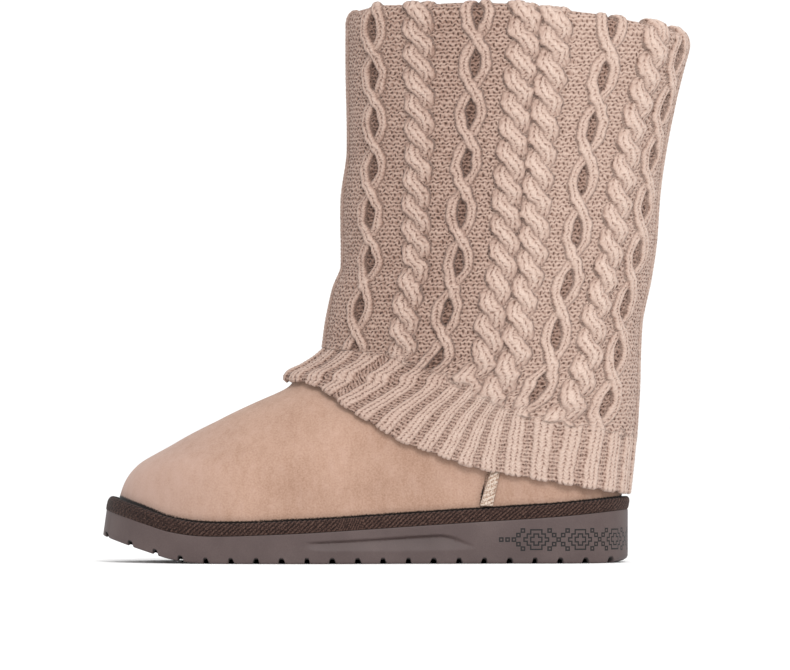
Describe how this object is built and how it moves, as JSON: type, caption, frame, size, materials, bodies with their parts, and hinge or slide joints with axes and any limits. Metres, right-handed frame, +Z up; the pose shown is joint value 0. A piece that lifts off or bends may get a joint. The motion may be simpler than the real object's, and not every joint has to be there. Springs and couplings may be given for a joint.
{
  "type": "sweater boot",
  "caption": "Left suede pull-on boot on a low moulded wedge sole, with a wrapped welt and a cable-knit sleeve folded over its collar and hanging to a ribbed hem.",
  "frame": {"origin": "on the floor, on the flat lug under the middle of the heel", "axes": "+X from toe to heel, +Y to the inner side of the foot, +Z up"},
  "size_m": [0.3082, 0.1008, 0.2935],
  "materials": {
    "sole": "grey-brown moulded foam rubber, satin, faintly mottled",
    "lining": "short cream plush",
    "suede": "tan pink brushed suede, matt, with a soft nap",
    "welt": "dark brown twill wrap with slanted cords",
    "knit": "pink beige wool-like yarn, cable knitted, matt",
    "seam": "cream overcast thread"
  },
  "bodies": {
    "root": {"outsole": "sole", "insole": "lining", "upper": "suede", "welt": "welt", "knit_sleeve": "knit", "seam_outer": "seam", "seam_inner": "seam"}
  },
  "joints": []
}
